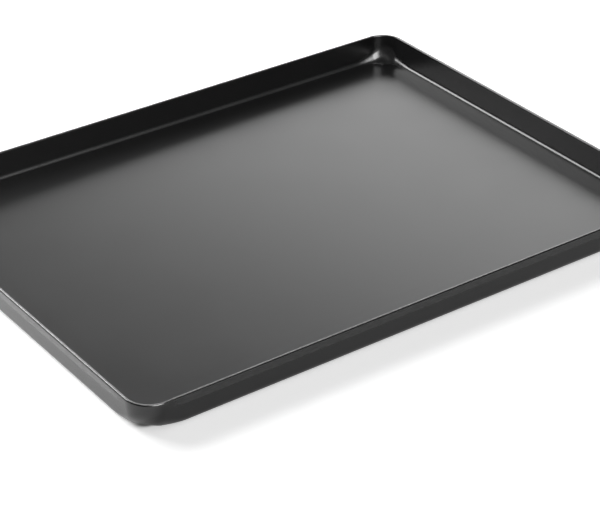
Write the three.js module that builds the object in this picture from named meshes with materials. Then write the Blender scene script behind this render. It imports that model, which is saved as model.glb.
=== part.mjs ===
import * as THREE from 'three';

// A shallow confectionery tray, pressed from one sheet of black anodised aluminium.
// X runs along the long side, Y along the short side and Z up. The origin is under the middle of the base.

// Driving sizes, in millimetres and degrees
const RIM_LENGTH = 400;
const RIM_WIDTH = 300;
const HEIGHT = 20;
const SHEET_THICKNESS = 2;
const WALL_LEAN = 6;
const RIM_CORNER_RADIUS = 16;
// Inner radius between floor and wall: along a side, and in the middle of a corner
const SIDE_FILLET_RADIUS = 3;
const CORNER_FILLET_RADIUS = 13;
// Stretch of each straight side over which the fillet grows towards the corner
const FILLET_RUN_IN = 15;
// Smallest radius that the flat floor keeps at its corners
const FLOOR_CORNER_LEAST = 0.5;

// Facets along each round stretch
const CORNER_STEPS = 10;
const RUN_IN_STEPS = 4;
const BEND_STEPS = 7;
const RIM_STEPS = 6;

const QUARTER_TURN = Math.PI / 2;
const lean = THREE.MathUtils.degToRad(WALL_LEAN);
const rimRadius = SHEET_THICKNESS / 2;

// Largest outer bend that the wall's height and the room inside the rim's corner allow
const cornerRoom = (RIM_CORNER_RADIUS - rimRadius - FLOOR_CORNER_LEAST) * Math.cos(lean) + rimRadius;
const leanReach = (HEIGHT - rimRadius) * Math.sin(lean);
const largestBend = Math.min(HEIGHT - rimRadius, (cornerRoom - leanReach) / (1 - Math.sin(lean)));
const cornerFillet = Math.min(CORNER_FILLET_RADIUS, largestBend - SHEET_THICKNESS);

// How far in from the rim's outer edge the bend's centre lies, for an outer bend radius
function bendInset(bendRadius) {
  const wallDrop = HEIGHT - rimRadius - bendRadius;
  const fromSheetMiddle = (bendRadius - rimRadius + wallDrop * Math.sin(lean)) / Math.cos(lean);
  return rimRadius + fromSheetMiddle;
}

// Middle of the corner arcs, in the quarter that the direction points to
function cornerCentre(direction) {
  const x = RIM_LENGTH / 2 - RIM_CORNER_RADIUS;
  const y = RIM_WIDTH / 2 - RIM_CORNER_RADIUS;
  return new THREE.Vector2(Math.sign(Math.cos(direction)) * x, Math.sign(Math.sin(direction)) * y);
}

function outward(direction) {
  return new THREE.Vector2(Math.cos(direction), Math.sin(direction));
}

// Outer bend radius at a distance along the rim from the middle of a corner
function bendRadiusAt(distance) {
  const reach = RIM_CORNER_RADIUS * QUARTER_TURN / 2 + FILLET_RUN_IN;
  const share = THREE.MathUtils.smoothstep(reach - distance, 0, reach);
  const fillet = THREE.MathUtils.lerp(SIDE_FILLET_RADIUS, cornerFillet, share);
  return fillet + SHEET_THICKNESS;
}

// Places round the tray where the sheet's section is drawn, counter-clockwise seen from above
function perimeterStations() {
  const halfArc = RIM_CORNER_RADIUS * QUARTER_TURN / 2;
  const stations = [];
  for (let corner = 0; corner < 4; corner += 1) {
    const first = corner * QUARTER_TURN;
    const last = first + QUARTER_TURN;
    const centre = cornerCentre((first + last) / 2);
    const add = (direction, alongSide, distance) => {
      const forward = outward(direction + QUARTER_TURN);
      stations.push({
        foot: centre.clone().addScaledVector(forward, alongSide),
        normal: outward(direction),
        bend: bendRadiusAt(distance),
      });
    };
    for (let step = RUN_IN_STEPS; step > 0; step -= 1) {
      const run = FILLET_RUN_IN * step / RUN_IN_STEPS;
      add(first, -run, halfArc + run);
    }
    for (let step = 0; step <= CORNER_STEPS; step += 1) {
      const share = step / CORNER_STEPS;
      add(THREE.MathUtils.lerp(first, last, share), 0, halfArc * Math.abs(2 * share - 1));
    }
    for (let step = 1; step <= RUN_IN_STEPS; step += 1) {
      const run = FILLET_RUN_IN * step / RUN_IN_STEPS;
      add(last, run, halfArc + run);
    }
  }
  return stations;
}

// Points on an arc, as distance out and height
function arcPoints(centre, radius, from, to, steps) {
  const points = [];
  for (let step = 0; step <= steps; step += 1) {
    const angle = THREE.MathUtils.lerp(from, to, step / steps);
    points.push(new THREE.Vector2(centre.x + radius * Math.cos(angle), centre.y + radius * Math.sin(angle)));
  }
  return points;
}

// Section of the sheet, from the underside up the outside, over the rim and down to the floor
function sheetSection(bendRadius) {
  const bendCentre = new THREE.Vector2(RIM_CORNER_RADIUS - bendInset(bendRadius), bendRadius);
  const rimCentre = new THREE.Vector2(RIM_CORNER_RADIUS - rimRadius, HEIGHT - rimRadius);
  const filletRadius = bendRadius - SHEET_THICKNESS;
  return [
    ...arcPoints(bendCentre, bendRadius, -QUARTER_TURN, -lean, BEND_STEPS),
    ...arcPoints(rimCentre, rimRadius, -lean, Math.PI - lean, RIM_STEPS),
    ...arcPoints(bendCentre, filletRadius, -lean, -QUARTER_TURN, BEND_STEPS),
  ];
}

function panGeometry() {
  const stations = perimeterStations();
  const count = stations.length;
  const sections = stations.map((station) => sheetSection(station.bend));
  const rings = sections[0].length;
  const positions = [];
  stations.forEach((station, i) => {
    sections[i].forEach((point) => {
      const place = station.foot.clone().addScaledVector(station.normal, point.x);
      positions.push(place.x, place.y, point.y);
    });
  });
  const vertex = (station, ring) => (station % count) * rings + ring;

  const indices = [];
  for (let i = 0; i < count; i += 1) {
    for (let ring = 0; ring < rings - 1; ring += 1) {
      const low = vertex(i, ring);
      const lowNext = vertex(i + 1, ring);
      const high = vertex(i, ring + 1);
      const highNext = vertex(i + 1, ring + 1);
      indices.push(low, lowNext, highNext, low, highNext, high);
    }
  }

  // The flat underside and the flat floor have the same outline
  const outline = stations.map((station, i) => (
    station.foot.clone().addScaledVector(station.normal, sections[i][0].x)
  ));
  THREE.ShapeUtils.triangulateShape(outline, []).forEach(([a, b, c]) => {
    indices.push(vertex(a, rings - 1), vertex(b, rings - 1), vertex(c, rings - 1));
    indices.push(vertex(a, 0), vertex(c, 0), vertex(b, 0));
  });

  const geometry = new THREE.BufferGeometry();
  geometry.setAttribute('position', new THREE.Float32BufferAttribute(positions, 3));
  geometry.setIndex(indices);
  geometry.computeVertexNormals();
  return geometry;
}

const blackAnodised = new THREE.MeshStandardMaterial({ color: 0x1b1b1c, roughness: 0.3, metalness: 0.4 });

const pan = new THREE.Mesh(panGeometry(), blackAnodised);
pan.name = 'tray_pan';

const tray = new THREE.Group();
tray.name = 'confectionery_tray';
tray.add(pan);

export default tray;
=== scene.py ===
import math

import bpy
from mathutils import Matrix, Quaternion, Vector


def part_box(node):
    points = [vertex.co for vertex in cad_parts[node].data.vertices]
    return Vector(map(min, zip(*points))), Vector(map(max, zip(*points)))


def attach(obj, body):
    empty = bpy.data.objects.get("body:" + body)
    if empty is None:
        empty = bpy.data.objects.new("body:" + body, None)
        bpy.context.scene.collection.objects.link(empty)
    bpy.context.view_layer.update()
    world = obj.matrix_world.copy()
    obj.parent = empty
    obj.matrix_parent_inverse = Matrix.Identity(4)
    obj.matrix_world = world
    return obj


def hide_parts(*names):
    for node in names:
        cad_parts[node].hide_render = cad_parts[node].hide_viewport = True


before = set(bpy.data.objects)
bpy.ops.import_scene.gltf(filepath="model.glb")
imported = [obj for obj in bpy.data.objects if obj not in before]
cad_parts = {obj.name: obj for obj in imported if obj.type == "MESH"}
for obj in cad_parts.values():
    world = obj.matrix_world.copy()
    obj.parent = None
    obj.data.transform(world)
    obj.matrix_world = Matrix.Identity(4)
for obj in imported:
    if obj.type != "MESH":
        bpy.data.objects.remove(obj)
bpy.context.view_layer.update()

MM = 0.001
QUARTER = math.pi / 2
NODE = "tray_pan"

# Overall size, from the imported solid
low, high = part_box(NODE)
LENGTH = high[0] - low[0]
WIDTH = high[1] - low[1]
HEIGHT = high[2] - low[2]

# Sizes of the pressing, as in the part's source
SHEET = 2 * MM
LEAN = math.radians(6)
RIM_CORNER = 16 * MM
SIDE_FILLET = 3 * MM
CORNER_FILLET = 13 * MM
FILLET_RUN_IN = 15 * MM

# What follows from them: the rim's round edge, half the length of a corner's arc and the arc's middle
RIM_RADIUS = SHEET / 2
HALF_ARC = RIM_CORNER * QUARTER / 2
CORNER_X = LENGTH / 2 - RIM_CORNER
CORNER_Y = WIDTH / 2 - RIM_CORNER

# Fineness of the visual mesh
CORNER_STEPS = 48
RUN_IN_STEPS = 20
BEND_STEPS = 18
RIM_STEPS = 20
# Distance from a bend to the extra loop that keeps the flat beside it flat in shading
EDGE_LOOP = 0.4 * MM

# Black finish: colour and roughness at the two ends of its slow clouding
BLACK_LOW = (0.0090, 0.0090, 0.0092, 1)
BLACK_HIGH = (0.0110, 0.0110, 0.0112, 1)
ROUGH_LOW = 0.275
ROUGH_HIGH = 0.29
FINISH_IOR = 1.5
# Bends and walls are smoother than the floor by this much, and the outside by a little more
BURNISH = 0.06
BURNISH_START = SHEET + 0.2 * MM
BURNISH_FULL = SHEET + 1.2 * MM
OUTSIDE_BURNISH = 0.015

# Fineness of the finish's patterns, per metre, and the part of a pattern's range that is used
CLOUD_SCALE = 28
STREAK_SCALE = (180, 180, 2600)
CHIP_SCALE = 700
GRAIN_SCALE = 5200
PATTERN_DETAIL = 3
GRAIN_DETAIL = 2
PATTERN_RANGE = (0.3, 0.7)
CHIP_RANGE = (0.25, 0.75)
GRAIN_STRENGTH = 0.06
GRAIN_DEPTH = 0.02 * MM

# Paler, partly metallic band below the rim, on the outside
BAND_TOP = HEIGHT - 1.4 * MM
BAND_BOTTOM = HEIGHT - 5.8 * MM
BAND_TOP_FADE = 0.3 * MM
BAND_BOTTOM_FADE = 0.4 * MM
BAND_GREY = 0.15
BAND_LEAST = 0.35
BAND_METAL = 0.5
# The band is strongest on the short sides, weaker on the long sides, and fades out at the corners
SHORT_SIDE_BAND = 1.0
LONG_SIDE_BAND = 0.34

# Top of the rim, made lighter: partly wear, and partly a painted highlight along the rim's line
CREST_START = HEIGHT - 0.20 * MM
CREST_FULL = HEIGHT - 0.08 * MM
WEAR_AND_HIGHLIGHT_GREY = 0.24
WEAR_AND_HIGHLIGHT_LEAST = 0.5

# Floor: its grey, and a paler grey and a faint glow that it has only in the tray's gloss
FLOOR_HALF = 6.0
PAPER_GREY = 0.8
MIRRORED_GREY = 1.40
MIRRORED_GLOW = 0.11
# The glow that only the camera sees, and the distances from the tray's middle between which it grows
NEAR_GLOW = 0.54
FAR_GLOW = 1.0
GLOW_NEAR = 0.7
GLOW_FAR = 2.2
# The ground under the tray lacks that glow, so that the shadow beneath the corners' bends stays dark.
# Out from the rectangle between the corners' middles: how far, along X and Y, the lack reaches,
# and the share of that reach where there is no glow at all
CONTACT_REACH = (12.4 * MM, 6.9 * MM, 1)
CONTACT_DARK = 0.55

# Sky: its grey all round and at the front, and where the front part fades out, as parts of a direction
SKY_GREY = 0.2
FRONT_SKY_GREY = 0.9
FRONT_FULL = -0.5
FRONT_END = 0.05
MIDDLE_FULL = 0.2
MIDDLE_END = 0.5

# Camera, fitted to the photograph's edges
FRAME_WIDTH = 600
CAMERA_AZIMUTH = math.radians(-36.20)
CAMERA_ELEVATION = math.radians(30.93)
CAMERA_ROLL = math.radians(0.25)
CAMERA_DISTANCE = 1274.2 * MM
CAMERA_TARGET = Vector((-18.83 * MM, -43.71 * MM, 0))
FOCAL_PIXELS = 2092.4
SENSOR_WIDTH = 36


def grey(value):
    return (value, value, value, 1)


def smoothstep(value):
    value = min(max(value, 0), 1)
    return value * value * (3 - 2 * value)


def bend_radius(distance):
    """Outer bend radius at a distance along the rim from the middle of a corner."""
    reach = HALF_ARC + FILLET_RUN_IN
    share = smoothstep((reach - distance) / reach)
    return SHEET + SIDE_FILLET + (CORNER_FILLET - SIDE_FILLET) * share


def station(centre, direction, along, distance):
    """One place on the rim's round: foot, outward direction, bend radius and strength of the paler
    band.
    """
    forward = Vector((-math.sin(direction), math.cos(direction)))
    outward = Vector((math.cos(direction), math.sin(direction)))
    side_band = SHORT_SIDE_BAND if abs(outward.x) > abs(outward.y) else LONG_SIDE_BAND
    band_weight = side_band * smoothstep((distance - HALF_ARC) / FILLET_RUN_IN)
    return centre + forward * along, outward, bend_radius(distance), band_weight


def stations():
    """All the places where the section is drawn, counter-clockwise seen from above."""
    found = []
    for corner in range(4):
        first = corner * QUARTER
        last = first + QUARTER
        middle = first + QUARTER / 2
        centre = Vector((
            math.copysign(CORNER_X, math.cos(middle)),
            math.copysign(CORNER_Y, math.sin(middle)),
        ))
        for step in range(RUN_IN_STEPS, 0, -1):
            run = FILLET_RUN_IN * step / RUN_IN_STEPS
            found.append(station(centre, first, -run, HALF_ARC + run))
        for step in range(CORNER_STEPS + 1):
            share = step / CORNER_STEPS
            found.append(station(centre, first + QUARTER * share, 0, HALF_ARC * abs(2 * share - 1)))
        for step in range(1, RUN_IN_STEPS + 1):
            run = FILLET_RUN_IN * step / RUN_IN_STEPS
            found.append(station(centre, last, run, HALF_ARC + run))
    return found


def arc(centre, radius, start, end, steps):
    points = []
    for step in range(steps + 1):
        angle = start + (end - start) * step / steps
        points.append((centre[0] + radius * math.cos(angle), centre[1] + radius * math.sin(angle)))
    return points


def between(start, end):
    """Two points just inside a straight stretch, which keep its shading flat."""
    share = EDGE_LOOP / math.dist(start, end)
    return [
        tuple(a + (b - a) * share for a, b in zip(start, end)),
        tuple(b + (a - b) * share for a, b in zip(start, end)),
    ]


def outside_share(rim_step):
    """1 on the outer quarter of the rim's round edge, 0 on the inner quarter, falling between them."""
    return min(1.0, max(0.0, 1.5 - 2 * rim_step / RIM_STEPS))


def section(bend):
    """The sheet's section, from the underside over the rim to the floor.

    Each point has its distance out, its height, and 1 on the outside or 0 on the inside.
    """
    drop = HEIGHT - RIM_RADIUS - bend
    inset = RIM_RADIUS + (bend - RIM_RADIUS + drop * math.sin(LEAN)) / math.cos(LEAN)
    bend_centre = (RIM_CORNER - inset, bend)
    rim_centre = (RIM_CORNER - RIM_RADIUS, HEIGHT - RIM_RADIUS)
    outer_bend = arc(bend_centre, bend, -QUARTER, -LEAN, BEND_STEPS)
    rim = arc(rim_centre, RIM_RADIUS, -LEAN, math.pi - LEAN, RIM_STEPS)
    fillet = arc(bend_centre, bend - SHEET, -LEAN, -QUARTER, BEND_STEPS)
    outer = outer_bend + between(outer_bend[-1], rim[0])
    inner = between(rim[-1], fillet[0]) + fillet
    points = [(bend_centre[0] - EDGE_LOOP, 0.0, 1.0)]
    points += [(out, up, 1.0) for out, up in outer]
    points += [(out, up, outside_share(step)) for step, (out, up) in enumerate(rim)]
    points += [(out, up, 0.0) for out, up in inner]
    points.append((bend_centre[0] - EDGE_LOOP, SHEET, 0.0))
    return points


def shell_faces(count, rings):
    """Faces between neighbouring sections, and the flats of the floor and the underside."""
    def vertex(place, ring):
        return place % count * rings + ring

    faces = []
    for place in range(count):
        for ring in range(rings - 1):
            faces.append((
                vertex(place, ring),
                vertex(place + 1, ring),
                vertex(place + 1, ring + 1),
                vertex(place, ring + 1),
            ))
    faces.append([vertex(place, rings - 1) for place in range(count)])
    faces.append([vertex(place, 0) for place in reversed(range(count))])
    return faces


def build_tray():
    places = stations()
    sections = [section(bend) for _, _, bend, _ in places]
    verts = []
    outside = []
    band_strength = []
    for (foot, outward, _, band_weight), points in zip(places, sections):
        for out, up, share in points:
            spot = foot + outward * out
            verts.append((spot.x, spot.y, up))
            outside.append(share)
            band_strength.append(band_weight)
    mesh = bpy.data.meshes.new("tray_pressing")
    mesh.from_pydata(verts, [], shell_faces(len(places), len(sections[0])))
    mesh.update()
    mesh.shade_smooth()
    for name, values in (("outside", outside), ("band_strength", band_strength)):
        layer = mesh.attributes.new(name, "FLOAT", "POINT")
        layer.data.foreach_set("value", values)
    tray = bpy.data.objects.new("tray_pressing", mesh)
    bpy.context.collection.objects.link(tray)
    return tray


class Nodes:
    """Short calls for a material's or world's node tree."""

    def __init__(self, owner):
        owner.use_nodes = True
        self.tree = owner.node_tree
        self.tree.nodes.clear()

    def add(self, kind, **values):
        node = self.tree.nodes.new(kind)
        for name, value in values.items():
            setattr(node, name, value)
        return node

    def link(self, source, target):
        self.tree.links.new(source, target)

    def put(self, sockets, values):
        """Links or sets each socket in turn."""
        for socket, value in zip(sockets, values):
            if isinstance(value, bpy.types.NodeSocket):
                self.link(value, socket)
            else:
                socket.default_value = value

    def math(self, operation, *values):
        node = self.add("ShaderNodeMath", operation=operation)
        self.put(node.inputs, values)
        return node.outputs[0]

    def vector_math(self, operation, *values):
        node = self.add("ShaderNodeVectorMath", operation=operation)
        self.put(node.inputs, values)
        return node.outputs["Vector"]

    def length(self, vector):
        node = self.add("ShaderNodeVectorMath", operation="LENGTH")
        self.link(vector, node.inputs[0])
        return node.outputs["Value"]

    def axes(self, vector):
        node = self.add("ShaderNodeSeparateXYZ")
        self.link(vector, node.inputs[0])
        return node.outputs

    def span(self, value, start, end, to_start=0.0, to_end=1.0):
        """A smooth change from one value to another, between a start and an end."""
        node = self.add("ShaderNodeMapRange", interpolation_type="SMOOTHSTEP")
        self.put(node.inputs, (value, start, end, to_start, to_end))
        return node.outputs[0]

    def noise(self, vector, scale, detail):
        node = self.add("ShaderNodeTexNoise")
        self.link(vector, node.inputs["Vector"])
        node.inputs["Scale"].default_value = scale
        node.inputs["Detail"].default_value = detail
        return node.outputs["Fac"]

    def blend(self, share, first, second):
        node = self.add("ShaderNodeMix", data_type="RGBA")
        sockets = [node.inputs[name] for name in ("Factor", "A", "B")]
        self.put(sockets, (share, first, second))
        return node.outputs["Result"]


def pale_band(n, place, height, outside):
    """Share of the paler band below the rim, in streaks along the wall."""
    band_strength = n.add("ShaderNodeAttribute", attribute_name="band_strength").outputs["Fac"]
    streak = n.noise(n.vector_math("MULTIPLY", place, STREAK_SCALE), 1, PATTERN_DETAIL)
    above = n.span(height, BAND_BOTTOM - BAND_BOTTOM_FADE, BAND_BOTTOM + BAND_BOTTOM_FADE)
    below = n.span(height, BAND_TOP - BAND_TOP_FADE, BAND_TOP + BAND_TOP_FADE, 1.0, 0.0)
    band = n.math("MULTIPLY", above, below)
    in_band = n.math("MULTIPLY", band, n.math("MULTIPLY", outside, band_strength))
    return n.math("MULTIPLY", in_band, n.span(streak, *PATTERN_RANGE, BAND_LEAST, 1.0))


def wear_and_highlight_crest(n, place, height):
    """Share of lightening along the top of the rim: partly wear, partly painted highlight."""
    on_crest = n.span(height, CREST_START, CREST_FULL)
    chips = n.noise(place, CHIP_SCALE, PATTERN_DETAIL)
    return n.math("MULTIPLY", on_crest, n.span(chips, *CHIP_RANGE, WEAR_AND_HIGHLIGHT_LEAST, 1.0))


def grain_bump(n, place):
    bump = n.add("ShaderNodeBump")
    bump.inputs["Strength"].default_value = GRAIN_STRENGTH
    bump.inputs["Distance"].default_value = GRAIN_DEPTH
    n.link(n.noise(place, GRAIN_SCALE, GRAIN_DETAIL), bump.inputs["Height"])
    return bump.outputs["Normal"]


def black_anodised():
    """Satin black with slow clouding and a fine grain, a paler band below the rim, and a top of the
    rim lightened partly by wear and partly as a painted highlight.
    """
    material = bpy.data.materials.new("black_anodised")
    n = Nodes(material)
    place = n.add("ShaderNodeTexCoord").outputs["Object"]
    height = n.axes(place)["Z"]
    outside = n.add("ShaderNodeAttribute", attribute_name="outside").outputs["Fac"]
    cloud = n.noise(place, CLOUD_SCALE, PATTERN_DETAIL)
    band_share = pale_band(n, place, height, outside)

    colour = n.blend(cloud, BLACK_LOW, BLACK_HIGH)
    colour = n.blend(band_share, colour, grey(BAND_GREY))
    # The lighter top of the rim is partly wear and partly a painted highlight
    colour = n.blend(wear_and_highlight_crest(n, place, height), colour, grey(WEAR_AND_HIGHLIGHT_GREY))

    flat_rough = n.span(cloud, *PATTERN_RANGE, ROUGH_LOW, ROUGH_HIGH)
    burnished = n.span(height, BURNISH_START, BURNISH_FULL, 0.0, BURNISH)
    inside_rough = n.math("SUBTRACT", flat_rough, burnished)
    rough = n.math("SUBTRACT", inside_rough, n.math("MULTIPLY", outside, OUTSIDE_BURNISH))

    shader = n.add("ShaderNodeBsdfPrincipled")
    shader.inputs["IOR"].default_value = FINISH_IOR
    n.link(colour, shader.inputs["Base Color"])
    n.link(n.math("MULTIPLY", band_share, BAND_METAL), shader.inputs["Metallic"])
    n.link(rough, shader.inputs["Roughness"])
    n.link(grain_bump(n, place), shader.inputs["Normal"])
    out = n.add("ShaderNodeOutputMaterial")
    n.link(shader.outputs[0], out.inputs["Surface"])
    return material


def camera_glow(n, place):
    """The floor's glow for the camera: stronger far away, and none on the ground under the tray."""
    glow = n.span(n.length(place), GLOW_NEAR, GLOW_FAR, NEAR_GLOW, FAR_GLOW)
    from_corner = n.vector_math("SUBTRACT", n.vector_math("ABSOLUTE", place), (CORNER_X, CORNER_Y, 0))
    beyond = n.vector_math("MAXIMUM", from_corner, (0, 0, 0))
    reach = n.length(n.vector_math("DIVIDE", beyond, CONTACT_REACH))
    return n.math("MULTIPLY", glow, n.span(reach, CONTACT_DARK, 1.0))


def white_paper():
    """White paper that keeps the shadow, with a glow that makes it white to the camera."""
    material = bpy.data.materials.new("white_paper")
    n = Nodes(material)
    ray = n.add("ShaderNodeLightPath")
    place = n.add("ShaderNodeTexCoord").outputs["Object"]
    paper = n.add("ShaderNodeBsdfDiffuse")
    colour = n.blend(ray.outputs["Is Glossy Ray"], grey(PAPER_GREY), grey(MIRRORED_GREY))
    n.link(colour, paper.inputs["Color"])
    seen = n.math("MULTIPLY", ray.outputs["Is Camera Ray"], camera_glow(n, place))
    mirrored = n.math("MULTIPLY", ray.outputs["Is Glossy Ray"], MIRRORED_GLOW)
    glow = n.add("ShaderNodeEmission")
    n.link(n.math("ADD", seen, mirrored), glow.inputs["Strength"])
    both = n.add("ShaderNodeAddShader")
    n.link(paper.outputs[0], both.inputs[0])
    n.link(glow.outputs[0], both.inputs[1])
    out = n.add("ShaderNodeOutputMaterial")
    n.link(both.outputs[0], out.inputs["Surface"])
    return material


def build_floor():
    corners = [(x * FLOOR_HALF, y * FLOOR_HALF, 0) for x, y in ((-1, -1), (1, -1), (1, 1), (-1, 1))]
    mesh = bpy.data.meshes.new("floor")
    mesh.from_pydata(corners, [], [(0, 1, 2, 3)])
    mesh.materials.append(white_paper())
    floor = bpy.data.objects.new("floor", mesh)
    bpy.context.collection.objects.link(floor)


def panel(name, centre, aim, width, height, radiance, shading=True):
    """A soft light: a bright rectangle that faces its aim. Without shading it is only mirrored."""
    light = bpy.data.lights.new(name, "AREA")
    light.shape = "RECTANGLE"
    light.size = width
    light.size_y = height
    light.energy = radiance * math.pi * width * height
    lamp = bpy.data.objects.new(name, light)
    lamp.location = centre
    lamp.rotation_euler = (Vector(aim) - Vector(centre)).to_track_quat("-Z", "Y").to_euler()
    lamp.visible_camera = False
    lamp.visible_diffuse = shading
    bpy.context.collection.objects.link(lamp)


def build_lights():
    panel(
        "key", centre=(-0.608, 1.143, 0.940), aim=(0, 0, 0),
        width=1.0, height=0.7, radiance=12.0,
    )
    panel(
        "right_panel", centre=(1.92, 2.65, 1.0), aim=(0.62, 2.40, 1.0),
        width=3.8, height=1.82, radiance=3.2,
    )
    panel(
        "front_card", centre=(-0.05, -4.25, 4.90), aim=(0.19, 0.14, 0),
        width=3.74, height=5.32, radiance=14.0, shading=False,
    )


def build_sky():
    """A grey sky that is brighter at the middle of the front, and white to the camera."""
    world = bpy.data.worlds.new("studio")
    bpy.context.scene.world = world
    n = Nodes(world)
    ray = n.add("ShaderNodeLightPath")
    direction = n.axes(n.add("ShaderNodeTexCoord").outputs["Generated"])
    front = n.span(direction["Y"], FRONT_FULL, FRONT_END, 1.0, 0.0)
    middle = n.span(n.math("ABSOLUTE", direction["X"]), MIDDLE_FULL, MIDDLE_END, 1.0, 0.0)
    sky = n.blend(n.math("MULTIPLY", front, middle), grey(SKY_GREY), grey(FRONT_SKY_GREY))
    back = n.add("ShaderNodeBackground")
    n.link(n.blend(ray.outputs["Is Camera Ray"], sky, grey(1)), back.inputs["Color"])
    out = n.add("ShaderNodeOutputWorld")
    n.link(back.outputs[0], out.inputs["Surface"])


def build_camera():
    data = bpy.data.cameras.new("camera")
    data.sensor_fit = "HORIZONTAL"
    data.sensor_width = SENSOR_WIDTH
    data.lens = FOCAL_PIXELS / FRAME_WIDTH * SENSOR_WIDTH
    back = Vector((
        math.sin(CAMERA_AZIMUTH) * math.cos(CAMERA_ELEVATION),
        -math.cos(CAMERA_AZIMUTH) * math.cos(CAMERA_ELEVATION),
        math.sin(CAMERA_ELEVATION),
    ))
    camera = bpy.data.objects.new("camera", data)
    camera.location = CAMERA_TARGET + back * CAMERA_DISTANCE
    aim = (-back).to_track_quat("-Z", "Y")
    camera.rotation_euler = (aim @ Quaternion((0, 0, 1), CAMERA_ROLL)).to_euler()
    bpy.context.collection.objects.link(camera)
    bpy.context.scene.camera = camera


tray = build_tray()
tray.data.materials.append(black_anodised())
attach(tray, "root")
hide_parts(NODE)

build_floor()
build_lights()
build_sky()
build_camera()
bpy.context.scene.view_settings.view_transform = "Standard"
